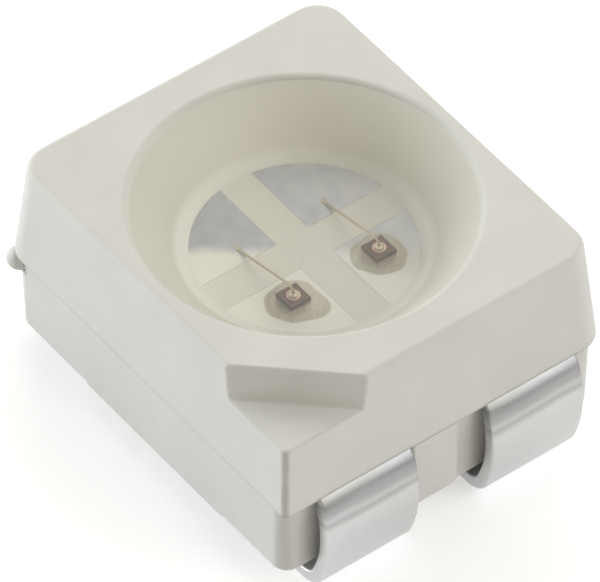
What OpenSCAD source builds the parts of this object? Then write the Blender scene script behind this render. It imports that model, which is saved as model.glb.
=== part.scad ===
// Four-lead surface-mount LED with a reflector cup, two chips and a marked corner.
// X runs along the leads, Z up from the solder plane, and the origin is under the
// middle of the part. Each lead starts as a pad in the cup's floor, leaves the
// moulding at its end face and is folded down and under to a solder foot.

/* [Housing] */
// Length of the flat top face, in the direction of the leads
top_len = 2.98; // [2.8:0.02:3.2]
// Width of the flat top face
top_wid = 2.6; // [2.5:0.02:2.8]
// Height of the top face above the solder plane
total_h = 1.75; // [1.65:0.05:2]
// Depth of the mould's parting plane below the top face
parting_depth = 0.84; // [0.8:0.01:0.86]
// How far each end face spreads on its way down to the parting plane
end_draft = 0.085; // [0.04:0.005:0.11]
// How far each long side spreads on its way down to the parting plane
side_draft = 0.065; // [0.03:0.005:0.11]
// Plan radius of the three plain corners at the top face
corner_r = 0.24; // [0.1:0.02:0.3]
// Plan radius of the three plain corners at the parting plane
parting_corner_r = 0.2; // [0.1:0.02:0.3]
// Plan radius of the marked corner
marked_corner_r = 0.05; // [0.03:0.01:0.1]
// Width of the softened edge round the top face
top_edge = 0.02; // [0.01:0.005:0.04]

/* [Lower half] */
// Step back of the end walls under the parting plane
end_ledge = 0.075; // [0.03:0.005:0.1]
// Step back of the long sides under the parting plane
side_ledge = 0.045; // [0.02:0.005:0.08]
// How far the lower half narrows on each side on its way down
lower_draft = 0.015; // [0.005:0.005:0.03]
// Plan radius of the lower half's corners
lower_corner_r = 0.12; // [0.06:0.01:0.2]
// Width of the softened edge round the underside
lower_edge = 0.035; // [0.01:0.005:0.05]
// Height of the underside above the solder plane, over the feet
ends_lift = 0.22; // [0.19:0.01:0.28]
// Height of the belly between the feet above the solder plane
belly_lift = 0.15; // [0.1:0.01:0.18]
// Length of the belly between the two rows of feet
belly_len = 1.5; // [1.3:0.05:1.6]
// Width of the centre post between two leads, at its face
post_wid = 0.1; // [0.06:0.02:0.16]
// How much wider the post is at its root, on each side
post_flare = 0.15; // [0.08:0.01:0.16]
// Distance of the post's face behind the end face's lower edge
post_back = 0.017; // [0.01:0.001:0.03]
// Height of the post's lower end above the solder plane
post_lift = 0.27; // [0.24:0.01:0.3]

/* [Reflector cup] */
// Diameter of the cup's mouth in the top face
cup_d = 2.4; // [2.2:0.05:2.45]
// Diameter of the cup's floor
floor_d = 1.66; // [1.5:0.02:1.8]
// Depth of the cup's floor below the top face
cup_depth = 0.78; // [0.7:0.01:0.8]
// Edge radius of the cup's mouth
rim_edge_r = 0.04; // [0.02:0.01:0.06]
// Fillet radius where the cup's wall meets its floor
foot_fillet_r = 0.12; // [0.06:0.01:0.14]
// Level of the clear resin below the top face
resin_dip = 0.03; // [0.01:0.005:0.06]

/* [Corner mark and gate] */
// Length that the corner mark takes off the marked corner, along the side
mark_len = 0.645; // [0.5:0.005:0.7]
// Width that the corner mark takes off the marked corner, along the end face
mark_wid = 0.685; // [0.5:0.005:0.7]
// Depth of the corner mark's floor below the top face
mark_depth = 0.27; // [0.2:0.01:0.4]
// Slope of the corner mark's wall from upright, in degrees
mark_slope = 12; // [5:1:20]
// Radius of the gate stub left on the corner by the mould
gate_r = 0.085; // [0.06:0.005:0.09]
// Reach of the gate stub from the corner of the lower half
gate_reach = 0.1; // [0.07:0.01:0.12]
// Depth of the gate stub's middle below the parting plane
gate_drop = 0.1; // [0.1:0.01:0.14]

/* [Leads] */
// Thickness of the sheet that the leads are stamped from
lead_t = 0.1; // [0.08:0.01:0.12]
// Width of each lead outside the moulding
lead_w = 0.77; // [0.6:0.01:0.8]
// Distance between the middles of two neighbouring leads
lead_pitch = 1.39; // [1.3:0.01:1.45]
// Outer radius of the upper bend
upper_bend_r = 0.21; // [0.16:0.01:0.24]
// Distance of the upper bend's start behind the end face at the parting plane
bend_set_in = 0.14; // [0.12:0.005:0.16]
// Outward lean of the bowed shank at its upper end, in degrees
lead_lean = 15; // [10:1:18]
// Inward lean of the bowed shank at its lower end, in degrees
lead_tuck = 23; // [18:1:26]
// Outer radius of the lower bend
lower_bend_r = 0.21; // [0.16:0.01:0.24]
// Distance from the middle of the part to the tip of each foot
foot_tip = 0.9; // [0.86:0.01:1]

/* [Pads] */
// Width of the plastic web between the pads
web_w = 0.27; // [0.2:0.01:0.32]
// Distance from the middle of the part to the outer end of each pad
pad_end = 1.2; // [1.1:0.01:1.3]
// Distance from the middle of the part to the outer side of each pad
pad_side = 1.1; // [1:0.01:1.15]
// Corner radius of the pads
pad_corner_r = 0.08; // [0.04:0.01:0.1]

/* [Chips and wires] */
// Side length of each square chip
chip_w = 0.17; // [0.12:0.01:0.22]
// Height of each chip
chip_h = 0.1; // [0.08:0.01:0.14]
// Distance of the chips from the middle, along the leads
chip_x = 0.35; // [0.32:0.01:0.4]
// Distance of the chips from the middle, across the leads
chip_y = 0.36; // [0.34:0.01:0.42]
// Diameter of the die attach under each chip, at the pad
attach_d = 0.41; // [0.36:0.01:0.44]
// Diameter of the die attach at its top
attach_top_d = 0.3; // [0.28:0.01:0.34]
// Thickness of the die attach
attach_t = 0.02; // [0.01:0.002:0.03]
// Diameter of the electrode on each chip
electrode_d = 0.1; // [0.08:0.005:0.11]
// Thickness of the electrode
electrode_t = 0.008; // [0.004:0.001:0.012]
// Diameter of the bond wire
wire_d = 0.018; // [0.015:0.001:0.025]
// Diameter of the ball at the wire's start
ball_d = 0.07; // [0.05:0.005:0.075]
// Height of the ball
ball_h = 0.025; // [0.015:0.005:0.03]
// Height of the straight neck above the ball
neck_h = 0.02; // [0.01:0.005:0.04]
// Radius of the wire's loop over the chip, at the wire's middle
loop_r = 0.06; // [0.04:0.005:0.08]
// Distance of the stitch from the middle, along the leads
stitch_x = 0.21; // [0.18:0.01:0.3]
// Diameter of the stitch
stitch_d = 0.08; // [0.06:0.005:0.09]
// Thickness of the stitch
stitch_t = 0.012; // [0.008:0.001:0.016]

/* [Hidden] */

// Facets of round edges in outlines that are joined by a hull
hull_fn = 32;
// Facets of plain circles, which stand for true circles
round_fn = 96;
// Facets of each bend of the leads' sheet
bend_fn = 12;
// How far a cutting shape reaches past the face that it cuts
past = 0.2;
// How far the post reaches up into the upper half
embed = 0.04;

parting_z = total_h - parting_depth;
pad_z = total_h - cup_depth;
resin_z = total_h - resin_dip;
parting_half_len = top_len / 2 + end_draft;
parting_half_wid = top_wid / 2 + side_draft;
lower_half_len = parting_half_len - end_ledge;
lower_half_wid = parting_half_wid - side_ledge;

// Cup wall in half section: its slope, and how far a tangent arc of radius 1 reaches along it
cup_r = cup_d / 2;
floor_r = floor_d / 2;
wall_angle = atan2(cup_depth, cup_r - floor_r);
edge_run = tan(wall_angle / 2);

// Lead profile in the XZ plane: the upper bend about upper_c, the bowed shank about bow_c and
// the lower bend about lower_c, each tangent to the next
upper_c = [parting_half_len - bend_set_in, pad_z - upper_bend_r];
lean_normal = [cos(lead_lean), sin(lead_lean)];
tuck_normal = [cos(lead_tuck), -sin(lead_tuck)];
bow_rise = upper_c[1] - lower_bend_r + upper_bend_r * sin(lead_lean) + lower_bend_r * sin(lead_tuck);
bow_r = bow_rise / (sin(lead_lean) + sin(lead_tuck));
bow_c = upper_c - (bow_r - upper_bend_r) * lean_normal;
lower_c = bow_c + (bow_r - lower_bend_r) * tuck_normal;

// Thickness of the bond wire in its bend, for a wire of thickness 1
bend_swell = 1.04;

// Bond wire in the XZ plane, seen with its chip on the +X side
chip_z = pad_z + attach_t;
electrode_z = chip_z + chip_h;
ball_z = electrode_z + electrode_t;
loop_c = [chip_x - loop_r, ball_z + ball_h + neck_h];
stitch_c = [-stitch_x, pad_z + wire_d / 2];
span = loop_c - stitch_c;
run_slope = atan2(span[1], span[0]) + asin(loop_r / norm(span));
run_len = sqrt(norm(span) * norm(span) - loop_r * loop_r);

// Thin plate with the housing's plan outline, rounded at its corners
module plan_plate(half_len, half_wid, r, marked_r, z, t) {
    for (sx = [-1, 1], sy = [-1, 1]) {
        rc = sx > 0 && sy < 0 ? marked_r : r;
        translate([sx * (half_len - rc), sy * (half_wid - rc), z])
            cylinder(h = t, r = rc, $fn = hull_fn);
    }
}

// Upper half of the moulding, from its softened top edge out to the parting plane
module upper_block() {
    land = top_edge / 4;
    hull() {
        plan_plate(top_len / 2 - top_edge, top_wid / 2 - top_edge,
                   corner_r, marked_corner_r, total_h - land, land);
        plan_plate(top_len / 2, top_wid / 2,
                   corner_r, marked_corner_r, total_h - top_edge - land, land);
        plan_plate(parting_half_len, parting_half_wid,
                   parting_corner_r, marked_corner_r, parting_z, land);
    }
}

// Lower half of the moulding: a shallow block with a softened lower edge
module lower_block() {
    land = lower_edge / 4;
    foot_half_len = lower_half_len - lower_draft;
    foot_half_wid = lower_half_wid - lower_draft;
    hull() {
        plan_plate(lower_half_len, lower_half_wid,
                   lower_corner_r, lower_corner_r, parting_z, land);
        plan_plate(foot_half_len, foot_half_wid,
                   lower_corner_r, lower_corner_r, ends_lift + lower_edge, land);
        plan_plate(foot_half_len - lower_edge, foot_half_wid - lower_edge,
                   lower_corner_r, lower_corner_r, ends_lift, land);
    }
}

// Belly that stands a little below the underside, between the two rows of feet
module belly() {
    drop = ends_lift - belly_lift;
    half_wid = lower_half_wid - lower_draft - lower_edge;
    rotate([90, 0, 0])
        linear_extrude(height = 2 * half_wid, center = true)
            polygon([[-belly_len / 2, belly_lift],
                     [belly_len / 2, belly_lift],
                     [belly_len / 2 + drop, ends_lift],
                     [belly_len / 2 + drop, ends_lift + lower_edge],
                     [-belly_len / 2 - drop, ends_lift + lower_edge],
                     [-belly_len / 2 - drop, ends_lift]]);
}

// Post between the two leads of one end, almost flush with the end face above it
module centre_post() {
    face = parting_half_len - post_back;
    root = lower_half_len - lower_draft - lower_edge;
    half = post_wid / 2;
    translate([0, 0, post_lift])
        linear_extrude(height = parting_z - post_lift + embed)
            polygon([[root, -half - post_flare],
                     [lower_half_len, -half - post_flare],
                     [face, -half],
                     [face, half],
                     [lower_half_len, half + post_flare],
                     [root, half + post_flare]]);
}

// Half section of the cup, with its rim edge and foot fillet, up to a given level
module cup_section(level) {
    wall_dir = [cos(wall_angle), sin(wall_angle)];
    rim = [cup_r, total_h];
    foot = [floor_r, pad_z];
    rim_run = rim_edge_r * edge_run;
    foot_run = foot_fillet_r * edge_run;
    rim_c = [cup_r + rim_run, total_h - rim_edge_r];
    foot_c = [floor_r - foot_run, pad_z + foot_fillet_r];
    intersection() {
        translate([0, pad_z])
            square([2 * cup_r, level - pad_z]);
        difference() {
            union() {
                polygon([[0, pad_z],
                         [foot_c[0], pad_z],
                         foot_c,
                         foot + foot_run * wall_dir,
                         rim - rim_run * wall_dir,
                         rim_c,
                         [rim_c[0], total_h + 2 * past],
                         [0, total_h + 2 * past]]);
                translate(foot_c)
                    circle(r = foot_fillet_r, $fn = round_fn);
            }
            translate(rim_c)
                circle(r = rim_edge_r, $fn = round_fn);
        }
    }
}

// Everything that the cup holds up to a given level
module cup_space(level) {
    rotate_extrude($fn = round_fn)
        cup_section(level);
}

// Triangular step that marks one corner, with a leaning wall and a flat floor
module corner_mark() {
    middle = [top_len - mark_len, mark_wid - top_wid] / 2;
    run = tan(mark_slope);
    far = mark_len + mark_wid;
    translate([middle[0], middle[1], total_h])
        rotate([0, 0, -atan2(mark_len, mark_wid)])
            rotate([90, 0, 0])
                linear_extrude(height = 2 * far, center = true)
                    polygon([[-run * past, past],
                             [run * mark_depth, -mark_depth],
                             [far, -mark_depth],
                             [far, past]]);
}

// Stub of the moulding gate on the corner diagonally opposite the back corner
module gate_stub() {
    bend_out = lower_corner_r * (1 - 1 / sqrt(2));
    corner = [-lower_half_len + bend_out, -lower_half_wid + bend_out];
    stub = gate_reach - gate_r;
    translate([corner[0], corner[1], parting_z - gate_drop])
        rotate([0, 0, 225]) {
            rotate([0, 90, 0])
                translate([0, 0, -past])
                    cylinder(h = past + stub, r = gate_r, $fn = round_fn);
            translate([stub, 0, 0])
                sphere(r = gate_r, $fn = round_fn);
        }
}

// White moulding with its cup, its web between the pads and a slot for every lead
module housing() {
    color([0.86, 0.86, 0.83])
        difference() {
            union() {
                upper_block();
                lower_block();
                belly();
                centre_post();
                mirror([1, 0, 0]) centre_post();
                gate_stub();
            }
            cup_space(total_h + past);
            corner_mark();
            for (sx = [0, 1], sy = [0, 1])
                mirror([sx, 0, 0]) mirror([0, sy, 0]) lead_solid();
        }
}

// Points along an arc about a centre, after its first, from one angle to another
function arc(centre, r, from, to) =
    [for (i = [1 : bend_fn])
        centre + r * [cos(from + (to - from) * i / bend_fn), sin(from + (to - from) * i / bend_fn)]];

// Side profile of one lead: flat strip, upper bend, bowed shank, lower bend and foot, whose outer
// face is followed down to the foot's tip and whose inner face is followed back up
module lead_profile() {
    polygon(concat([[foot_tip, pad_z], [upper_c[0], pad_z]],
                   arc(upper_c, upper_bend_r, 90, lead_lean),
                   arc(bow_c, bow_r, lead_lean, -lead_tuck),
                   arc(lower_c, lower_bend_r, -lead_tuck, -90),
                   [[foot_tip, 0], [foot_tip, lead_t], [lower_c[0], lead_t]],
                   arc(lower_c, lower_bend_r - lead_t, -90, -lead_tuck),
                   arc(bow_c, bow_r - lead_t, -lead_tuck, lead_lean),
                   arc(upper_c, upper_bend_r - lead_t, lead_lean, 90),
                   [[foot_tip, pad_z - lead_t]]));
}

// Pad in the cup's floor, the widened inner end of a lead
module pad_plate() {
    near = web_w / 2;
    translate([0, 0, pad_z - lead_t])
        linear_extrude(height = lead_t)
            union() {
                translate([near, near])
                    square([pad_end - near - pad_corner_r, pad_side - near]);
                translate([near, near])
                    square([pad_end - near, pad_side - near - pad_corner_r]);
                translate([pad_end - pad_corner_r, pad_side - pad_corner_r])
                    circle(r = pad_corner_r, $fn = round_fn);
            }
}

// One whole lead, as the one at the +X +Y corner
module lead_solid() {
    pad_plate();
    translate([0, (lead_pitch + lead_w) / 2, 0])
        rotate([90, 0, 0])
            linear_extrude(height = lead_w)
                lead_profile();
}

// A lead at the corner that the two signs name, in tin-plated sheet
module lead(sx, sy) {
    color([0.78, 0.78, 0.78])
        mirror([sx < 0 ? 1 : 0, 0, 0])
            mirror([0, sy < 0 ? 1 : 0, 0])
                lead_solid();
}

// Shallow round fillet of glue that holds a chip to its pad
module die_attach_solid(sy) {
    translate([chip_x, sy * chip_y, pad_z])
        cylinder(h = attach_t, d1 = attach_d, d2 = attach_top_d, $fn = round_fn);
}

module die_attach(sy) {
    color([0.62, 0.6, 0.55]) die_attach_solid(sy);
}

// Square light-emitting chip
module chip_solid(sy) {
    translate([chip_x - chip_w / 2, sy * chip_y - chip_w / 2, chip_z])
        cube([chip_w, chip_w, chip_h]);
}

module chip(sy) {
    color([0.4, 0.3, 0.27]) chip_solid(sy);
}

// Round gold electrode on top of a chip
module electrode_solid(sy) {
    translate([chip_x, sy * chip_y, electrode_z])
        cylinder(h = electrode_t, d = electrode_d, $fn = round_fn);
}

module electrode(sy) {
    color([0.85, 0.66, 0.5]) electrode_solid(sy);
}

// Bond wire: ball, neck, loop, straight run and the stitch on the opposite pad
module bond_wire_solid(sy) {
    turn = 90 + run_slope;
    tuck = wire_d / 6;
    translate([0, sy * chip_y, 0]) {
        translate([chip_x, 0, ball_z])
            cylinder(h = ball_h, d = ball_d, $fn = round_fn);
        translate([chip_x, 0, ball_z])
            cylinder(h = ball_h + neck_h + tuck, d = wire_d, $fn = round_fn);
        translate([loop_c[0], 0, loop_c[1]])
            rotate([90, 0, 0])
                rotate_extrude(angle = turn, $fn = round_fn)
                    translate([loop_r, 0])
                        circle(d = wire_d * bend_swell, $fn = round_fn);
        translate([stitch_c[0], 0, stitch_c[1]])
            rotate([0, 90 - run_slope, 0])
                cylinder(h = run_len + tuck, d = wire_d, $fn = round_fn);
        translate([stitch_c[0], 0, pad_z])
            cylinder(h = stitch_t, d = stitch_d, $fn = round_fn);
    }
}

module bond_wire(sy) {
    color([0.83, 0.68, 0.35]) bond_wire_solid(sy);
}

// Clear resin that fills the cup round the chips and wires
module clear_resin() {
    color([0.93, 0.93, 0.9, 0.35])
        difference() {
            cup_space(resin_z);
            for (sy = [-1, 1]) {
                die_attach_solid(sy);
                chip_solid(sy);
                electrode_solid(sy);
                bond_wire_solid(sy);
            }
        }
}

housing();
lead(1, -1);  // lead_pin_1
lead(-1, -1);  // lead_pin_2
lead(-1, 1);  // lead_pin_3
lead(1, 1);  // lead_pin_4
die_attach(-1);  // die_attach_1
die_attach(1);  // die_attach_4
chip(-1);  // chip_1
chip(1);  // chip_4
electrode(-1);  // electrode_1
electrode(1);  // electrode_4
bond_wire(-1);  // bond_wire_1
bond_wire(1);  // bond_wire_4
clear_resin();
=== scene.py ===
import math

import bmesh
import bpy
from mathutils import Matrix, Quaternion, Vector


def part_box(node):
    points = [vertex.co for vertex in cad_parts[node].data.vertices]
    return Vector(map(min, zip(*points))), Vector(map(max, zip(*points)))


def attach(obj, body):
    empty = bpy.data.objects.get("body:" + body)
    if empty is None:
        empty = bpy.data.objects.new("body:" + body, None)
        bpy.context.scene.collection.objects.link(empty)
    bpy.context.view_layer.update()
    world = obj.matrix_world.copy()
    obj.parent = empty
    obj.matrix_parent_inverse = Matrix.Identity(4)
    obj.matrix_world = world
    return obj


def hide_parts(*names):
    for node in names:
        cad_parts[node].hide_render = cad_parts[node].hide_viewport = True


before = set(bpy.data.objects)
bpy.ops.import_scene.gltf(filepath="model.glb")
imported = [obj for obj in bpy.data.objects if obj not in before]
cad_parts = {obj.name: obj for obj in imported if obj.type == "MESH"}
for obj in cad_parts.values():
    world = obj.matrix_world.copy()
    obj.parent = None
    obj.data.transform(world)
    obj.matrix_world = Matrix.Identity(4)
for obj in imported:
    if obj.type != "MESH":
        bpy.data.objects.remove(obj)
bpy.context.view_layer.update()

scene = bpy.context.scene
mm = 0.001

# Camera
# It looks down on the marked corner from 46 degrees up, through a very long lens close to the part,
# and is aimed a little under the middle of the top face, where the middle of the picture lies.
picture_width = 600
focal_pixels = 9027
sensor_width = 36.0
view_turn = math.radians(52.34)
view_height = math.radians(46.285)
view_roll = math.radians(0.303)
camera_distance = 60 * mm
aim_below_top = 0.5845 * mm
aim_left_of_top = 0.0271 * mm

towards_camera = Vector((math.sin(view_turn) * math.cos(view_height),
                         -math.cos(view_turn) * math.cos(view_height),
                         math.sin(view_height)))
camera_right = Vector((math.cos(view_turn), math.sin(view_turn), 0))
camera_up = towards_camera.cross(camera_right)
top_middle = Vector((0, 0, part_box("housing")[1].z))
aim = top_middle - camera_up * aim_below_top - camera_right * aim_left_of_top
camera_data = bpy.data.cameras.new("camera")
camera_data.sensor_fit = "HORIZONTAL"
camera_data.sensor_width = sensor_width
camera_data.lens = sensor_width * focal_pixels / picture_width
camera_data.clip_start = 1 * mm
camera_data.clip_end = 2
camera = bpy.data.objects.new("camera", camera_data)
camera.location = top_middle + towards_camera * camera_distance
look = (aim - camera.location).to_track_quat("-Z", "Y")
camera.rotation_mode = "QUATERNION"
camera.rotation_quaternion = look @ Quaternion((0, 0, 1), view_roll)
scene.collection.objects.link(camera)
scene.camera = camera

# Leads
# Four strips stamped from thin copper sheet, silver plated on the pads in the cup and tin plated
# outside. Each is folded down over the end of the moulding and under it to a solder foot, so the
# sheet keeps its thickness round its bends and its bowed shank, and its stamped edges are rounded.
sheet_t = 0.1 * mm
lead_w = 0.77 * mm
lead_pitch = 1.39 * mm
upper_bend_r = 0.21 * mm
upper_bend_x = 1.435 * mm
lower_bend_r = 0.21 * mm
lead_lean = math.radians(15)
lead_tuck = math.radians(23)
foot_tip = 0.9 * mm
pad_end = 1.2 * mm
pad_corner_r = 0.08 * mm
stamped_edge_r = 0.018 * mm
bend_steps = 12
same_place = 0.0005 * mm
near_pads = 0.003 * mm
crease = math.radians(35)
pad_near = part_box("lead_pin_4")[0].x
pad_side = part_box("lead_pin_4")[1].y
pad_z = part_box("lead_pin_4")[1].z
mark_direction = (0.79, -0.61)
# how far the painted reflection bands on the tin wander in height, in millimetres
painted_band_wave = 0.07
# span in millimetres over which painted reflection brightens the silver towards +Y
painted_reflection_run = 2 * mm
# where and how much the pads are painted whiter and less metallic towards the marked corner, a painted
# reflection
painted_reflection_start = 0.02 * mm
painted_reflection_end = 0.16 * mm
painted_reflection_wave = 0.1 * mm
painted_reflection_cover = 0.8
pad_margin = 0.01 * mm


def new_material(name):
    """An empty surface finish: its material, node tree and shader."""
    material = bpy.data.materials.new(name)
    material.use_nodes = True
    return material, material.node_tree, material.node_tree.nodes["Principled BSDF"]


def set_or_link(tree, socket, value):
    """Feed a shader socket from another socket, or set it to a number or colour."""
    if isinstance(value, bpy.types.NodeSocket):
        tree.links.new(value, socket)
    else:
        socket.default_value = value


def noise(tree, scale, detail=2.0, stretch=(1, 1, 1)):
    """Factor of a noise pattern that rides on the piece, with its scale in cells per millimetre."""
    place = tree.nodes.new("ShaderNodeTexCoord")
    mapping = tree.nodes.new("ShaderNodeMapping")
    mapping.inputs["Scale"].default_value = [s * scale / mm for s in stretch]
    pattern = tree.nodes.new("ShaderNodeTexNoise")
    pattern.inputs["Scale"].default_value = 1.0
    pattern.inputs["Detail"].default_value = detail
    tree.links.new(place.outputs["Object"], mapping.inputs["Vector"])
    tree.links.new(mapping.outputs["Vector"], pattern.inputs["Vector"])
    return pattern.outputs["Fac"]


def ramp(tree, factor, *stops):
    """Colours or greys that follow a factor, each stop a place and a value."""
    node = tree.nodes.new("ShaderNodeValToRGB")
    while len(node.color_ramp.elements) < len(stops):
        node.color_ramp.elements.new(0.5)
    for element, (place, value) in zip(node.color_ramp.elements, stops):
        element.position = place
        element.color = (*value, 1) if hasattr(value, "__len__") else (value, value, value, 1)
    tree.links.new(factor, node.inputs["Fac"])
    return node.outputs["Color"]


def maths(tree, operation, *terms):
    """Result of a calculation on sockets and numbers."""
    node = tree.nodes.new("ShaderNodeMath")
    node.operation = operation
    for socket, term in zip(node.inputs, terms):
        set_or_link(tree, socket, term)
    return node.outputs[0]


def blend(tree, factor, first, second):
    """Colour or grey between two others."""
    node = tree.nodes.new("ShaderNodeMix")
    node.data_type = "RGBA"
    set_or_link(tree, node.inputs[0], factor)
    for socket, value in ((node.inputs[6], first), (node.inputs[7], second)):
        set_or_link(tree, socket, (*value, 1) if isinstance(value, tuple) else value)
    return node.outputs[2]


def fade(tree, value, start, end):
    """Factor that rises from 0 to 1 as a value goes from a start to an end."""
    node = tree.nodes.new("ShaderNodeMapRange")
    node.interpolation_type = "SMOOTHSTEP"
    node.inputs["From Min"].default_value = start
    node.inputs["From Max"].default_value = end
    tree.links.new(value, node.inputs["Value"])
    return node.outputs["Result"]


def axes(tree):
    """The three Object coordinates."""
    place = tree.nodes.new("ShaderNodeTexCoord")
    split = tree.nodes.new("ShaderNodeSeparateXYZ")
    tree.links.new(place.outputs["Object"], split.inputs[0])
    return split.outputs


def bump(tree, height, depth):
    """Normal of a relief of a given depth, which a factor from 0 to 1 draws."""
    node = tree.nodes.new("ShaderNodeBump")
    node.inputs["Distance"].default_value = depth
    tree.links.new(height, node.inputs["Height"])
    return node.outputs["Normal"]


def towards_mark(tree):
    """Distance from the cup's middle towards the marked corner."""
    x, y, _ = axes(tree)
    return maths(tree, "ADD", maths(tree, "MULTIPLY", x, mark_direction[0]),
                 maths(tree, "MULTIPLY", y, mark_direction[1]))


def tin_with_painted_reflection_bands(tree, grain):
    """Tin plate with painted reflections: light and dark bands at heights in millimetres, as the bent
    lead would mirror the lamps, a dark room and the floor.
    """
    height = maths(tree, "DIVIDE", axes(tree)[2], mm)
    wave = maths(tree, "SUBTRACT", noise(tree, 5, detail=3, stretch=(1, 0.3, 1)), 0.5)
    wavy_height = maths(tree, "ADD", height, maths(tree, "MULTIPLY", wave, painted_band_wave))
    # painted reflection: a bright band under the moulding, dark bands below it, a light ridge and even
    # grey lower down
    bands = ramp(tree, wavy_height, (0.5, 0.62), (0.66, 0.64), (0.71, 0.42), (0.75, 0.54), (0.79, 0.38),
                 (0.83, 0.33), (0.87, 0.22), (0.915, 0.38), (0.95, 0.4), (0.97, 0.26))
    return blend(tree, maths(tree, "MULTIPLY", grain, 0.25), bands, (0.55, 0.55, 0.56))


def silver_with_painted_reflection(tree):
    """Silver plate with clouds, in a darker bluish grey that is a painted reflection of the room, and
    with painted reflection that brightens it towards +Y.
    """
    # painted reflection: the silver is brighter towards +Y
    across = maths(tree, "DIVIDE", axes(tree)[1], painted_reflection_run)
    mottled = maths(tree, "ADD", noise(tree, 7, detail=4), across)
    return ramp(tree, mottled, (0.1, (0.34, 0.35, 0.385)), (0.9, (0.53, 0.54, 0.55)))


def lead_finish():
    """Satin tin outside, and in the cup silver that is painted whiter and less metallic on the side of
    the marked corner as a painted reflection, told apart by their place."""
    material, tree, shader = new_material("lead_finish")
    x, _, z = axes(tree)
    grain = noise(tree, 40, stretch=(1, 0.2, 1))
    # painted reflection: the silver is painted whiter towards the marked corner, with a wavy edge
    wave = maths(tree, "MULTIPLY", noise(tree, 4, detail=3), painted_reflection_wave)
    ragged = maths(tree, "ADD", towards_mark(tree), wave)
    painted_reflection_mask = fade(tree, ragged, painted_reflection_start, painted_reflection_end)
    plate = blend(tree, painted_reflection_mask, silver_with_painted_reflection(tree), (0.82, 0.82, 0.775))
    in_cup = maths(tree, "MULTIPLY",
                   maths(tree, "LESS_THAN", maths(tree, "ABSOLUTE", x), pad_end + pad_margin),
                   maths(tree, "GREATER_THAN", z, pad_z - sheet_t * 2))
    tree.links.new(blend(tree, in_cup, tin_with_painted_reflection_bands(tree, grain), plate), shader.inputs["Base Color"])
    # painted reflection: the whiter silver also loses most of its metal
    painted_reflection_dulling = maths(tree, "MULTIPLY", maths(tree, "MULTIPLY", in_cup, painted_reflection_mask), painted_reflection_cover)
    tree.links.new(maths(tree, "SUBTRACT", 1.0, painted_reflection_dulling), shader.inputs["Metallic"])
    rough = blend(tree, in_cup, ramp(tree, grain, (0.3, 0.42), (0.7, 0.5)), (0.6, 0.6, 0.6))
    tree.links.new(rough, shader.inputs["Roughness"])
    tree.links.new(bump(tree, grain, 0.0004 * mm), shader.inputs["Normal"])
    return material


def grow(bm, face, keep=False):
    """Extrude an end face in place and return the new end face."""
    grown = bmesh.ops.extrude_face_region(bm, geom=[face])["geom"]
    if face.is_valid and not keep:
        bmesh.ops.delete(bm, geom=[face], context="FACES_ONLY")
    return [f for f in grown if isinstance(f, bmesh.types.BMFace)][0]


def pull(bm, face, vector, keep=False):
    """Carry an end face along a straight run."""
    end = grow(bm, face, keep)
    bmesh.ops.translate(bm, verts=end.verts[:], vec=vector)
    return end


def fold(bm, face, centre, angle, steps=bend_steps):
    """Carry an end face round a bend that turns about the Y direction."""
    turn = Matrix.Rotation(angle / steps, 3, "Y")
    for _ in range(steps):
        face = grow(bm, face)
        bmesh.ops.rotate(bm, verts=face.verts[:], cent=centre, matrix=turn)
    return face


def lead_mesh(play=0.0):
    """The lead at the +X +Y corner, from its pad's plan outward and round its bends, or with play
    its sharp-edged slot in the moulding."""
    bm = bmesh.new()
    near, side, end_x = pad_near - play, pad_side + play, pad_end + play
    strip_near = (lead_pitch - lead_w) / 2 - play
    strip_far = (lead_pitch + lead_w) / 2 + play
    outline = [(near, near), (end_x, near), (end_x, strip_near), (end_x, strip_far)]
    outline += [(end_x, side), (near, side)]
    plan = bm.faces.new([bm.verts.new((x, y, pad_z - sheet_t - play)) for x, y in outline])
    pull(bm, plan, (0, 0, sheet_t + 2 * play), keep=True)
    bmesh.ops.recalc_face_normals(bm, faces=bm.faces)
    middle_y = lead_pitch / 2
    root = min((f for f in bm.faces if f.normal.x > 0.9),
               key=lambda f: abs(f.calc_center_median().y - middle_y))

    lean = Vector((math.cos(lead_lean), 0, math.sin(lead_lean)))
    tuck = Vector((math.cos(lead_tuck), 0, -math.sin(lead_tuck)))
    upper_centre = Vector((upper_bend_x, 0, pad_z - upper_bend_r))
    bow_rise = upper_centre.z - lower_bend_r + upper_bend_r * lean.z - lower_bend_r * tuck.z
    bow_r = bow_rise / (lean.z - tuck.z)
    bow_centre = upper_centre - lean * (bow_r - upper_bend_r)
    lower_centre = bow_centre + tuck * (bow_r - lower_bend_r)
    end = pull(bm, root, (upper_bend_x - end_x, 0, 0))
    end = fold(bm, end, upper_centre, math.pi / 2 - lead_lean)
    end = fold(bm, end, bow_centre, lead_lean + lead_tuck)
    end = fold(bm, end, lower_centre, math.pi / 2 - lead_tuck)
    pull(bm, end, (foot_tip - lower_centre.x, 0, 0))
    bmesh.ops.recalc_face_normals(bm, faces=bm.faces)
    corner = [e for e in bm.edges if all(abs(v.co.x - end_x) < same_place
                                         and abs(v.co.y - side) < same_place for v in e.verts)]
    bmesh.ops.bevel(bm, geom=corner, offset=pad_corner_r, segments=8,
                    affect="EDGES", profile=0.5, material=-1)
    if play:
        return bm
    outside = [e for e in bm.edges if min(v.co.x for v in e.verts) > end_x - same_place
               or max(v.co.z for v in e.verts) < sheet_t]
    stamped = [e for e in outside if e.calc_face_angle(0) > crease]
    bmesh.ops.bevel(bm, geom=stamped, offset=stamped_edge_r, segments=3,
                    affect="EDGES", profile=0.5, material=-1)
    return bm


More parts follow.
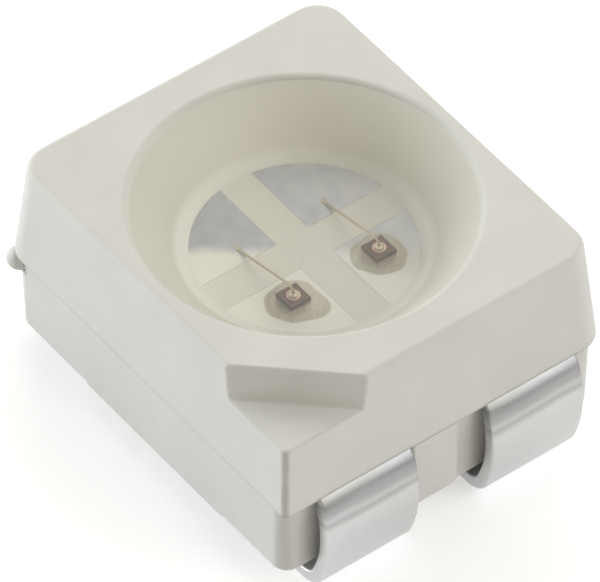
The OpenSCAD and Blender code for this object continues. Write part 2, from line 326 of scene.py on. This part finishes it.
def add_piece(name, bm, material, slot, *nodes, soft_edge=0.0):
    """A finished mesh becomes a piece that takes the place of its CAD nodes. With a soft edge, its
    sharp edges are rounded, apart from those round the pads."""
    if bm.calc_volume(signed=True) < 0:
        bmesh.ops.reverse_faces(bm, faces=bm.faces)
    if soft_edge:
        weight = bm.edges.layers.float.new("bevel_weight_edge")
        for e in bm.edges:
            round_pad = all(abs(v.co.z - pad_z) < near_pads for v in e.verts)
            e[weight] = float(e.calc_face_angle(0) > crease and not round_pad)
    mesh = bpy.data.meshes.new(name)
    bm.to_mesh(mesh)
    bm.free()
    mesh.materials.append(material)
    mesh.shade_smooth()
    mesh.set_sharp_from_angle(angle=crease)
    piece = bpy.data.objects.new(name, mesh)
    scene.collection.objects.link(piece)
    if soft_edge:
        rounding = piece.modifiers.new("soft edges", "BEVEL")
        rounding.width = soft_edge
        rounding.segments = 2
        rounding.limit_method = "WEIGHT"
        rounding.use_clamp_overlap = False
    even = piece.modifiers.new("even shading", "WEIGHTED_NORMAL")
    even.keep_sharp = True
    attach(piece, "root")
    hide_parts(*nodes)


plating = lead_finish()
for pin, along, across in ((1, 1, -1), (2, -1, -1), (3, -1, 1), (4, 1, 1)):
    lead = lead_mesh()
    bmesh.ops.scale(lead, verts=lead.verts, vec=(along, across, 1))
    bmesh.ops.recalc_face_normals(lead, faces=lead.faces)
    add_piece(f"folded_lead_{pin}", lead, plating, "tinned_sheet", f"lead_pin_{pin}")

# Housing
# One white injection moulding, shot round the four leads in a mould that parts at half height.
# Its upper half is drafted, its lower half stands back under a ledge, and the reflector cup opens
# down to the leads' pads. The marked corner, the leads' posts and the gate stub are part of it.
parting_half_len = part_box("housing")[1].x
parting_half_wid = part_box("housing")[1].y
top_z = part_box("housing")[1].z
belly_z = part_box("housing")[0].z
parting_z = top_z - 0.84 * mm
end_draft = 0.085 * mm
side_draft = 0.065 * mm
corner_r = 0.22 * mm
marked_corner_r = 0.05 * mm
top_edge_r = 0.045 * mm
parting_edge_r = 0.012 * mm
end_ledge = 0.075 * mm
side_ledge = 0.045 * mm
lower_draft = 0.015 * mm
lower_corner_r = 0.12 * mm
lower_edge_r = 0.035 * mm
underside_z = 0.22 * mm
belly_len = 1.5 * mm
post_wid = 0.1 * mm
post_flare = 0.15 * mm
post_side = 0.295 * mm
post_edge = 0.02 * mm
flare_steps = 10
post_back = 0.017 * mm
post_z = 0.3 * mm
overlap = 0.1 * mm
cup_r = 1.2 * mm
cup_floor_r = 0.83 * mm
rim_edge_r = 0.04 * mm
foot_fillet_r = 0.12 * mm
soft_edge_r = 0.012 * mm
slot_play = 0.002 * mm
mark_len = 0.645 * mm
mark_wid = 0.685 * mm
mark_depth = 0.27 * mm
mark_slope = math.radians(12)
gate_r = 0.085 * mm
gate_reach = 0.1 * mm
gate_z = parting_z - 0.1 * mm
gate_turn = math.radians(225)
lower_half_len = parting_half_len - end_ledge
lower_half_wid = parting_half_wid - side_ledge
parting_line_z = parting_z + 0.008 * mm
parting_line_core = 0.005 * mm
parting_line_reach = 0.024 * mm
corner_line_inner = 0.022 * mm
corner_line_outer = 0.008 * mm
corner_line_wave = 0.03 * mm
tan_wall_start = 0.03 * mm
tan_wall_end = 0.16 * mm
pale_rim_depth = 0.1 * mm


def drafted_block(low, low_half, high, high_half, corner_radius, marked_radius):
    """A block between two heights, with its upright corners rounded."""
    bm = bmesh.new()
    bmesh.ops.create_grid(bm, x_segments=1, y_segments=1, size=1)
    base = bm.faces[:]
    bmesh.ops.scale(bm, verts=bm.verts, vec=(*low_half, 1))
    bmesh.ops.translate(bm, verts=bm.verts, vec=(0, 0, low))
    grown = bmesh.ops.extrude_face_region(bm, geom=base)["geom"]
    upper = [v for v in grown if isinstance(v, bmesh.types.BMVert)]
    bmesh.ops.scale(bm, verts=upper, vec=(high_half[0] / low_half[0], high_half[1] / low_half[1], 1))
    bmesh.ops.translate(bm, verts=upper, vec=(0, 0, high - low))
    bmesh.ops.recalc_face_normals(bm, faces=bm.faces)
    upright = [e for e in bm.edges if abs(e.verts[0].co.z - e.verts[1].co.z) > overlap / 2]
    marked = [e for e in upright if e.verts[0].co.x > 0 and e.verts[0].co.y < 0]
    plain = [e for e in upright if e not in marked]
    bmesh.ops.bevel(bm, geom=plain, offset=corner_radius, segments=12,
                    affect="EDGES", profile=0.5, material=-1)
    marked = [e for e in bm.edges if abs(e.verts[0].co.z - e.verts[1].co.z) > overlap / 2
              and e.verts[0].co.x > low_half[0] * 0.9 and e.verts[0].co.y < -low_half[1] * 0.9]
    bmesh.ops.bevel(bm, geom=marked, offset=marked_radius, segments=6,
                    affect="EDGES", profile=0.5, material=-1)
    return bm


def round_rim(bm, height, radius, segments):
    """Round the edges that lie flat at a height."""
    rim = [e for e in bm.edges if all(abs(v.co.z - height) < same_place for v in e.verts)]
    bmesh.ops.bevel(bm, geom=rim, offset=radius, segments=segments,
                    affect="EDGES", profile=0.5, material=-1)


def upright_prism(outline, low, high):
    """A prism on a plan outline, from one height to another."""
    bm = bmesh.new()
    plan = bm.faces.new([bm.verts.new((x, y, low)) for x, y in outline])
    pull(bm, plan, (0, 0, high - low), keep=True)
    bmesh.ops.recalc_face_normals(bm, faces=bm.faces)
    return bm


def cross_prism(outline, half_width):
    """A prism on an outline in the XZ plane, as wide to either side."""
    bm = upright_prism(outline, -half_width, half_width)
    bmesh.ops.rotate(bm, verts=bm.verts, cent=(0, 0, 0), matrix=Matrix.Rotation(math.pi / 2, 3, "X"))
    return bm


def arc(centre, radius, start, end, steps):
    """Points along an arc from one angle to another, both in degrees."""
    angles = [math.radians(start + (end - start) * i / steps) for i in range(steps + 1)]
    return [(centre[0] + radius * math.cos(a), centre[1] + radius * math.sin(a)) for a in angles]


def turned(profile, steps):
    """A round body from its half section in the XZ plane."""
    bm = bmesh.new()
    verts = [bm.verts.new((x, 0, z)) for x, z in profile]
    edges = [bm.edges.new(pair) for pair in zip(verts, verts[1:])]
    bmesh.ops.spin(bm, geom=verts + edges, cent=(0, 0, 0), axis=(0, 0, 1),
                   angle=2 * math.pi, steps=steps, use_merge=True)
    bmesh.ops.remove_doubles(bm, verts=bm.verts, dist=0.0001 * mm)
    bmesh.ops.recalc_face_normals(bm, faces=bm.faces)
    return bm


def cup_body(level, grown=0.0):
    """What the cup holds up to a level, or its whole cutter, grown outward into the wall."""
    slope = math.atan2(top_z - pad_z, cup_r - cup_floor_r)
    slope_deg = math.degrees(slope)
    edge_run = math.tan(slope / 2)
    rim_centre = (cup_r + rim_edge_r * edge_run, top_z - rim_edge_r)
    foot_centre = (cup_floor_r - foot_fillet_r * edge_run, pad_z + foot_fillet_r)
    foot = arc(foot_centre, foot_fillet_r + grown, -90, slope_deg - 90, 12)
    rim = arc(rim_centre, rim_edge_r - grown, 90 + slope_deg, 90, 10)
    wall = foot + rim
    below = [p for p in wall if p[1] < level]
    if len(below) == len(wall):
        profile = [(0, pad_z - grown)] + wall + [(wall[-1][0], level), (0, level)]
    else:
        last, after = below[-1], wall[len(below)]
        share = (level - last[1]) / (after[1] - last[1])
        lip = last[0] + (after[0] - last[0]) * share
        profile = [(0, pad_z - grown)] + below + [(lip, level), (0, level)]
    return turned(profile, steps=128)


def temporary(bm, name):
    """A mesh as an object that is only used to join or cut another."""
    mesh = bpy.data.meshes.new(name)
    bm.to_mesh(mesh)
    bm.free()
    holder = bpy.data.objects.new(name, mesh)
    scene.collection.objects.link(holder)
    return holder


def combined(bm, steps):
    """The mesh after it was joined with, or cut by, each of a list of others."""
    base = temporary(bm, "base")
    others = []
    for operation, other in steps:
        tool = temporary(other, "tool")
        others.append(tool)
        step = base.modifiers.new("step", "BOOLEAN")
        step.operation = operation
        step.solver = "EXACT"
        step.object = tool
    bpy.context.view_layer.update()
    done = base.evaluated_get(bpy.context.evaluated_depsgraph_get())
    result = bmesh.new()
    result.from_mesh(done.to_mesh())
    for holder in [base, *others]:
        bpy.data.objects.remove(holder)
    return result


def mirrored(bm, along, across):
    """The mesh mirrored to another corner, with its faces turned outward again."""
    bmesh.ops.scale(bm, verts=bm.verts, vec=(along, across, 1))
    bmesh.ops.recalc_face_normals(bm, faces=bm.faces)
    return bm


def upper_half():
    """Upper half of the moulding, spreading down to the parting plane, with a softened top edge."""
    bm = drafted_block(parting_z, (parting_half_len, parting_half_wid),
                       top_z, (parting_half_len - end_draft, parting_half_wid - side_draft),
                       corner_r, marked_corner_r)
    round_rim(bm, top_z, top_edge_r, 5)
    round_rim(bm, parting_z, parting_edge_r, 3)
    return bm


def lower_half():
    """Lower half, set back under the ledge, with a rounded lower edge."""
    bm = drafted_block(underside_z, (lower_half_len - lower_draft, lower_half_wid - lower_draft),
                       parting_z + overlap, (lower_half_len, lower_half_wid),
                       lower_corner_r, lower_corner_r)
    round_rim(bm, underside_z, lower_edge_r, 4)
    return bm


def belly():
    """Plateau under the middle that keeps the underside off the board's glue."""
    drop = underside_z - belly_z
    half = belly_len / 2
    return cross_prism([(-half, belly_z), (half, belly_z), (half + drop, underside_z),
                        (half + drop, underside_z + overlap), (-half - drop, underside_z + overlap),
                        (-half - drop, underside_z)],
                       lower_half_wid - lower_draft - lower_edge_r)


def centre_post(along):
    """Post between the two leads of one end, nearly flush with the end face above it. It stands
    close to the lead at the marked side and flares out towards the other."""
    root = lower_half_len - overlap
    face = parting_half_len - post_back
    half = post_wid / 2
    fall = face - lower_half_len + lower_draft
    shares = [i / flare_steps for i in range(flare_steps + 1)]
    side = [(face - fall * (1 - math.cos(math.pi * s)) / 2, half + post_flare * s) for s in shares]
    side += [(root, half + post_flare), (root, -post_side), (face - post_edge, -post_side),
             (face, -post_side + post_edge)]
    bm = upright_prism(side, post_z, parting_z + overlap / 2)
    return mirrored(bm, along, 1)


def gate_stub():
    """Round stub where the runner of the mould was broken off."""
    inset = lower_corner_r * (1 - math.sqrt(0.5))
    stub = gate_reach - gate_r
    dome = arc((stub, 0), gate_r, 0, 90, 10)
    bm = turned([(r, z) for z, r in dome] + [(gate_r, -overlap), (0, -overlap)], steps=32)
    lie_down = Matrix.Rotation(math.pi / 2, 3, "Y")
    face_corner = Matrix.Rotation(gate_turn, 3, "Z")
    bmesh.ops.rotate(bm, verts=bm.verts, cent=(0, 0, 0), matrix=face_corner @ lie_down)
    bmesh.ops.translate(bm, verts=bm.verts,
                        vec=(inset - lower_half_len, inset - lower_half_wid, gate_z))
    return bm


def corner_mark():
    """Cutter of the triangular step, with a leaning wall and a flat floor."""
    top_half_len = parting_half_len - end_draft
    top_half_wid = parting_half_wid - side_draft
    run = math.tan(mark_slope)
    far = mark_len + mark_wid
    bm = cross_prism([(-run * overlap, overlap), (run * mark_depth, -mark_depth),
                      (far, -mark_depth), (far, overlap)], far)
    turn = -math.atan2(mark_len, mark_wid)
    bmesh.ops.rotate(bm, verts=bm.verts, cent=(0, 0, 0), matrix=Matrix.Rotation(turn, 3, "Z"))
    bmesh.ops.translate(bm, verts=bm.verts,
                        vec=(top_half_len - mark_len / 2, mark_wid / 2 - top_half_wid, top_z))
    return bm


def parting_line(tree, body):
    """The body's colour with a faint darker line along the mould's parting, at the edge of the ledge.
    """
    off_middle = maths(tree, "ABSOLUTE", maths(tree, "SUBTRACT", axes(tree)[2], parting_line_z))
    off_line = fade(tree, off_middle, parting_line_core, parting_line_reach)
    return blend(tree, off_line, (0.61, 0.60, 0.57), body)


def marked_corner_line(tree, body):
    """The body's colour with a darker, uneven line down the leaning edge of the marked corner."""
    x, y, z = axes(tree)
    edge = (parting_half_len - end_draft + parting_half_wid - side_draft) / math.sqrt(2)
    edge_draft = (end_draft + side_draft) / math.sqrt(2) / (top_z - parting_z)
    diagonal = maths(tree, "DIVIDE", maths(tree, "SUBTRACT", x, y), math.sqrt(2))
    lean_back = maths(tree, "MULTIPLY", maths(tree, "SUBTRACT", z, top_z), edge_draft)
    uneven = maths(tree, "ADD", maths(tree, "ADD", diagonal, lean_back),
                   maths(tree, "MULTIPLY", noise(tree, 6), corner_line_wave))
    on_edge = fade(tree, uneven, edge - corner_line_inner, edge + corner_line_outer)
    return blend(tree, on_edge, body, (0.52, 0.51, 0.46))


def cup_lining_with_painted_light(tree, body):
    """The body's colour with a tan cup wall that painted light makes paler away from the mark, over a
    cup floor painted lighter as if lit from above.
    """
    x, y, z = axes(tree)
    radius = maths(tree, "SQRT", maths(tree, "ADD", maths(tree, "MULTIPLY", x, x),
                                       maths(tree, "MULTIPLY", y, y)))
    off_mark = maths(tree, "MULTIPLY", towards_mark(tree), -1.0)
    # painted light: the wall is painted paler at the back of the cup, away from the mark
    wall = ramp(tree, maths(tree, "DIVIDE", off_mark, radius),
                (0.3, (0.6, 0.59, 0.525)), (0.95, (0.70, 0.685, 0.615)))
    up_wall = fade(tree, z, pad_z + tan_wall_start, pad_z + tan_wall_end)
    # painted light: the cup floor is painted lighter, as light from above falls on it
    lining = blend(tree, up_wall, (0.77, 0.765, 0.72), wall)
    under_rim = maths(tree, "SUBTRACT", 1.0, fade(tree, z, top_z - pale_rim_depth, top_z))
    in_cup = maths(tree, "MULTIPLY", maths(tree, "LESS_THAN", radius, cup_r + rim_edge_r), under_rim)
    return blend(tree, in_cup, body, lining)


def moulding_finish():
    """White filled plastic with a fine matte skin, a faint uneven tone and painted light in the cup."""
    material, tree, shader = new_material("moulding_finish")
    clouds = noise(tree, 2.5, detail=4)
    skin = noise(tree, 60, detail=3)
    body = ramp(tree, clouds, (0.3, (0.672, 0.674, 0.656)), (0.7, (0.71, 0.708, 0.694)))
    colour = cup_lining_with_painted_light(tree, marked_corner_line(tree, parting_line(tree, body)))
    tree.links.new(colour, shader.inputs["Base Color"])
    tree.links.new(ramp(tree, skin, (0.3, 0.5), (0.7, 0.66)), shader.inputs["Roughness"])
    tree.links.new(bump(tree, skin, 0.0006 * mm), shader.inputs["Normal"])
    return material


steps = [("UNION", lower_half()), ("UNION", belly()), ("UNION", centre_post(1)),
         ("UNION", centre_post(-1)), ("UNION", gate_stub()),
         ("DIFFERENCE", cup_body(top_z + overlap)), ("DIFFERENCE", corner_mark())]
steps += [("DIFFERENCE", mirrored(lead_mesh(slot_play), along, across))
          for along in (1, -1) for across in (1, -1)]
moulding = combined(upper_half(), steps)
bmesh.ops.remove_doubles(moulding, verts=moulding.verts, dist=same_place)
add_piece("moulded_housing", moulding, moulding_finish(), "white_moulding", "housing",
          soft_edge=soft_edge_r)

# Die attach
# A drop of silver-filled glue under each chip, pressed out round it as the chip was set down and
# then cured. It is thickest under the chip and thins out to an uneven edge on the pad.
chip_x = 0.35 * mm
chip_y = 0.36 * mm
glue_t = 0.02 * mm
glue_top_r = 0.15 * mm
glue_r = 0.192 * mm
glue_tail = {1: 0.07 * mm, 4: 0.0}
glue_tail_turn = math.radians(39)
glue_slope_steps = 4


def glue_finish():
    """Dull grey-brown filled glue with a fine speckle."""
    material, tree, shader = new_material("glue_finish")
    speckle = noise(tree, 45, detail=4)
    colour = ramp(tree, speckle, (0.3, (0.47, 0.44, 0.37)), (0.7, (0.60, 0.58, 0.50)))
    tree.links.new(colour, shader.inputs["Base Color"])
    shader.inputs["Metallic"].default_value = 0.2
    tree.links.new(ramp(tree, speckle, (0.3, 0.45), (0.7, 0.6)), shader.inputs["Roughness"])
    tree.links.new(bump(tree, speckle, 0.002 * mm), shader.inputs["Normal"])
    return material


def glue_mesh(tail):
    """A thin round drop with a hollow slope, a wavy outline and a tail to one side."""
    shares = [i / glue_slope_steps for i in range(glue_slope_steps + 1)]
    slope = [(glue_top_r + (glue_r - glue_top_r) * s, glue_t * (1 - s) ** 2) for s in shares]
    bm = turned([(0, glue_t)] + slope + [(0, 0)], steps=72)
    for v in bm.verts:
        turn = math.atan2(v.co.y, v.co.x)
        outward = min(1.0, math.hypot(v.co.x, v.co.y) / glue_r)
        wave = 0.035 * math.sin(3 * turn + 1) + 0.02 * math.sin(7 * turn)
        drawn_out = tail / glue_r * max(0.0, math.cos(turn - glue_tail_turn)) ** 9
        v.co.xy *= 1 + outward ** 2 * (wave + drawn_out)
    return bm


glue = glue_finish()
for pin, across in ((1, -1), (4, 1)):
    drop = glue_mesh(glue_tail[pin])
    bmesh.ops.translate(drop, verts=drop.verts, vec=(chip_x, across * chip_y, pad_z))
    add_piece(f"glue_drop_{pin}", drop, glue, "die_glue", f"die_attach_{pin}")

# Chips
# Each is a square die, sawn from a wafer, so its sides are dark and scored. A slightly smaller mesa
# stands on its top, with the chip's light-emitting layer in it.
chip_w = 0.17 * mm
chip_h = 0.1 * mm
chip_z = pad_z + glue_t
mesa_inset = 0.01 * mm
mesa_h = 0.006 * mm
sawn_edge_r = 0.003 * mm
glue_creep_start = 0.035 * mm
glue_creep_end = 0.065 * mm
glue_creep_wave = 0.03 * mm


def chip_finish():
    """Dark sawn semiconductor with fine upright scoring, and glue that has crept up its sides."""
    material, tree, shader = new_material("chip_finish")
    z = axes(tree)[2]
    scoring = noise(tree, 120, detail=2, stretch=(1, 1, 0.08))
    sides = ramp(tree, scoring, (0.3, (0.02, 0.008, 0.005)), (0.7, (0.05, 0.024, 0.016)))
    on_top = maths(tree, "GREATER_THAN", z, chip_z + chip_h - mesa_h / 2)
    top = ramp(tree, noise(tree, 30), (0.3, (0.06, 0.024, 0.014)), (0.7, (0.11, 0.05, 0.03)))
    ragged = maths(tree, "ADD", z, maths(tree, "MULTIPLY", noise(tree, 14), glue_creep_wave))
    above_glue = fade(tree, ragged, chip_z + glue_creep_start, chip_z + glue_creep_end)
    smeared = blend(tree, above_glue, (0.36, 0.33, 0.27), sides)
    tree.links.new(blend(tree, on_top, smeared, top), shader.inputs["Base Color"])
    tree.links.new(ramp(tree, scoring, (0.3, 0.3), (0.7, 0.5)), shader.inputs["Roughness"])
    tree.links.new(bump(tree, scoring, 0.0006 * mm), shader.inputs["Normal"])
    return material


def chip_mesh():
    """A square die with a mesa, standing on the glue."""
    bm = bmesh.new()
    bmesh.ops.create_cube(bm, size=1)
    bmesh.ops.scale(bm, verts=bm.verts, vec=(chip_w, chip_w, chip_h - mesa_h))
    bmesh.ops.translate(bm, verts=bm.verts, vec=(0, 0, chip_z + (chip_h - mesa_h) / 2))
    top = [f for f in bm.faces if f.normal.z > 0.9]
    bmesh.ops.inset_region(bm, faces=top, thickness=mesa_inset)
    bmesh.ops.translate(bm, verts=top[0].verts[:], vec=(0, 0, mesa_h))
    bmesh.ops.inset_region(bm, faces=top, thickness=mesa_inset / 4)
    sawn = [e for e in bm.edges if abs(e.verts[0].co.z - e.verts[1].co.z) > chip_h / 2]
    bmesh.ops.bevel(bm, geom=sawn, offset=sawn_edge_r, segments=2,
                    affect="EDGES", profile=0.5, material=-1)
    return bm


die = chip_finish()
for pin, across in ((1, -1), (4, 1)):
    chip = chip_mesh()
    bmesh.ops.translate(chip, verts=chip.verts, vec=(chip_x, across * chip_y, 0))
    add_piece(f"led_chip_{pin}", chip, die, "chip", f"chip_{pin}")

# Electrodes
# A round gold contact that was plated on top of each chip, with a flat face and a rounded edge.
# The bond wire's ball is welded to it.
electrode_r = 0.05 * mm
electrode_t = 0.008 * mm
electrode_z = chip_z + chip_h


def gold_finish(name, colour, roughness):
    """Soft gold with a fine uneven sheen."""
    material, tree, shader = new_material(name)
    sheen = noise(tree, 80)
    darker = tuple(0.85 * c for c in colour)
    tree.links.new(ramp(tree, sheen, (0.3, darker), (0.7, colour)), shader.inputs["Base Color"])
    shader.inputs["Metallic"].default_value = 1.0
    rough = ramp(tree, sheen, (0.3, roughness), (0.7, roughness + 0.12))
    tree.links.new(rough, shader.inputs["Roughness"])
    tree.links.new(bump(tree, sheen, 0.0004 * mm), shader.inputs["Normal"])
    return material


def electrode_mesh():
    """A thin disc with a rounded upper edge."""
    edge_r = electrode_t / 2
    edge = arc((electrode_r - edge_r, edge_r), edge_r, 0, 90, 5)
    return turned([(0, 0), (electrode_r, 0)] + edge + [(0, electrode_t)], steps=48)


plated_gold = gold_finish("plated_gold", (0.58, 0.40, 0.34), 0.4)
for pin, across in ((1, -1), (4, 1)):
    contact = electrode_mesh()
    bmesh.ops.translate(contact, verts=contact.verts, vec=(chip_x, across * chip_y, electrode_z))
    add_piece(f"plated_electrode_{pin}", contact, plated_gold, "gold", f"electrode_{pin}")

# Bond wires
# Drawn gold wire. A machine melts its end to a ball, welds that to the electrode, lifts and loops
# the wire to the pad opposite, and presses it flat there, which cuts it off in a fish-tail stitch.
wire_r = 0.009 * mm
ball_r = 0.035 * mm
ball_h = 0.025 * mm
weld_share = 0.82
neck_h = 0.02 * mm
loop_r = 0.06 * mm
stitch_x = 0.21 * mm
stitch_bend_r = 0.05 * mm
stitch_len = 0.06 * mm
ball_z = electrode_z + electrode_t


def wire_mesh():
    """One wire from its ball, up, over and down to its pressed end."""
    bm = bmesh.new()
    bmesh.ops.create_circle(bm, cap_ends=True, radius=ball_r * weld_share, segments=16)
    bmesh.ops.translate(bm, verts=bm.verts, vec=(chip_x, 0, ball_z))
    end = bm.faces[:][0]
    ball = [(1.0, 0.3), (0.98, 0.65), (0.75, 0.92), (wire_r / ball_r, 1.0)]
    width, height, first = weld_share, 0.0, True
    for next_width, next_height in ball:
        end = pull(bm, end, (0, 0, (next_height - height) * ball_h), keep=first)
        bmesh.ops.scale(bm, verts=end.verts[:], vec=(next_width / width, next_width / width, 1),
                        space=Matrix.Translation((-chip_x, 0, 0)))
        width, height, first = next_width, next_height, False
    end = pull(bm, end, (0, 0, neck_h))
    loop_centre = Vector((chip_x - loop_r, 0, ball_z + ball_h + neck_h))
    span = loop_centre - Vector((-stitch_x, 0, pad_z + wire_r))
    run_slope = math.atan2(span.z, span.x) + math.asin(loop_r / span.length)
    end = fold(bm, end, loop_centre, -(math.pi / 2 + run_slope), steps=14)
    down = Vector((-math.cos(run_slope), 0, -math.sin(run_slope)))
    run_end_z = pad_z + wire_r + stitch_bend_r * (1 - math.cos(run_slope))
    run = (end.calc_center_median().z - run_end_z) / math.sin(run_slope)
    end = pull(bm, end, down * run)
    above = Vector((-math.sin(run_slope), 0, math.cos(run_slope))) * stitch_bend_r
    end = fold(bm, end, end.calc_center_median() + above, run_slope, steps=6)
    for flat, wide in ((0.7, 1.5), (0.6, 1.5), (0.6, 0.8)):
        end = pull(bm, end, (-stitch_len / 3, 0, 0))
        middle = end.calc_center_median()
        bmesh.ops.scale(bm, verts=end.verts[:], vec=(1, wide, flat),
                        space=Matrix.Translation((-middle.x, 0, -pad_z)))
    bmesh.ops.recalc_face_normals(bm, faces=bm.faces)
    return bm


drawn_gold = gold_finish("drawn_gold", (0.56, 0.50, 0.38), 0.4)
for pin, across in ((1, -1), (4, 1)):
    wire = wire_mesh()
    bmesh.ops.translate(wire, verts=wire.verts, vec=(0, across * chip_y, 0))
    add_piece(f"gold_wire_{pin}", wire, drawn_gold, "gold", f"bond_wire_{pin}")

# Resin
# Clear casting that fills the cup nearly to its rim and shuts in the chips and wires. It wets the
# wall and the pads, so its outside lies a hair within them.
resin_dip = 0.03 * mm
resin_sink = 0.004 * mm


def resin_finish():
    """Clear cast resin of index 1.53, through which lamps reach the cup."""
    material, tree, shader = new_material("resin_finish")
    shader.inputs["Transmission Weight"].default_value = 1.0
    shader.inputs["IOR"].default_value = 1.53
    shader.inputs["Roughness"].default_value = 0.0
    path = tree.nodes.new("ShaderNodeLightPath")
    unseen = maths(tree, "MAXIMUM", path.outputs["Is Shadow Ray"], path.outputs["Is Diffuse Ray"])
    open_side = tree.nodes.new("ShaderNodeBsdfTransparent")
    choice = tree.nodes.new("ShaderNodeMixShader")
    tree.links.new(unseen, choice.inputs["Fac"])
    tree.links.new(shader.outputs[0], choice.inputs[1])
    tree.links.new(open_side.outputs[0], choice.inputs[2])
    tree.links.new(choice.outputs[0], tree.nodes["Material Output"].inputs["Surface"])
    return material


add_piece("cast_resin", cup_body(top_z - resin_dip, resin_sink), resin_finish(),
          "clear_resin", "clear_resin")

# Floor and background
# A plain pale table that glows a little for the camera, so the part's shadow stays faint on it,
# in a studio that looks white, is grey in reflections and lights the part with a dim warm light.
floor_size = 400 * mm
floor_colour = (0.8, 0.8, 0.84, 1)
floor_glow = 0.46
studio_in_mirror = 0.45
ambient = (0.14, 0.13, 0.12)


def mirror_rays(tree):
    """Light path, and whether a ray has left a mirror-like or clear surface."""
    path = tree.nodes.new("ShaderNodeLightPath")
    left_mirror = maths(tree, "MAXIMUM", path.outputs["Is Glossy Ray"],
                        path.outputs["Is Transmission Ray"])
    return path, left_mirror


floor_mesh = bpy.data.meshes.new("floor")
bm = bmesh.new()
bmesh.ops.create_grid(bm, x_segments=1, y_segments=1, size=floor_size / 2)
bm.to_mesh(floor_mesh)
bm.free()
floor = bpy.data.objects.new("floor", floor_mesh)
scene.collection.objects.link(floor)
material, tree, shader = new_material("floor_finish")
floor_mesh.materials.append(material)
shader.inputs["Base Color"].default_value = floor_colour
shader.inputs["Roughness"].default_value = 0.9
path, mirrored_ray = mirror_rays(tree)
seen = maths(tree, "MAXIMUM", path.outputs["Is Camera Ray"], mirrored_ray)
glow = tree.nodes.new("ShaderNodeEmission")
glow.inputs["Color"].default_value = (1, 1, 1, 1)
tree.links.new(maths(tree, "MULTIPLY", seen, floor_glow), glow.inputs["Strength"])
both = tree.nodes.new("ShaderNodeAddShader")
tree.links.new(shader.outputs[0], both.inputs[0])
tree.links.new(glow.outputs[0], both.inputs[1])
tree.links.new(both.outputs[0], tree.nodes["Material Output"].inputs["Surface"])

world = bpy.data.worlds.new("studio")
scene.world = world
world.use_nodes = True
tree = world.node_tree
path, mirrored_ray = mirror_rays(tree)
studio = blend(tree, mirrored_ray, ambient, (studio_in_mirror,) * 3)
seen_white = blend(tree, path.outputs["Is Camera Ray"], studio, (1.0, 1.0, 1.0))
tree.links.new(seen_white, tree.nodes["Background"].inputs["Color"])

# Lamps
# Soft boxes as they stand round a product shot: a direction from the part, and the light that each
# gives on a surface that faces it.
lamp_distance = 80 * mm
lamp_size = 70 * mm


def softbox(name, direction, light):
    """A square lamp that gives its light, as a colour, on a surface that faces it."""
    lamp = bpy.data.lights.new(name, "AREA")
    lamp.shape = "SQUARE"
    lamp.size = lamp_size
    level = max(light)
    lamp.color = [c / level for c in light]
    lamp.energy = level * math.pi ** 2 * lamp_distance ** 2
    lamp_object = bpy.data.objects.new(name, lamp)
    lamp_object.location = Vector(direction).normalized() * lamp_distance
    lamp_object.rotation_mode = "QUATERNION"
    lamp_object.rotation_quaternion = (-lamp_object.location).to_track_quat("-Z", "Y")
    scene.collection.objects.link(lamp_object)


softbox("left softbox", (-0.75, -0.6, 0.2), (1.25, 1.3, 1.28))
softbox("back softbox", (-0.5, 0.6, 0.6), (0.49, 0.47, 0.42))
softbox("right softbox", (0.65, 0.5, 0.55), (0.54, 0.56, 0.56))
softbox("front softbox", (0.8, -0.1, 0.75), (0.15, 0.12, 0.06))

scene.view_settings.view_transform = "Standard"
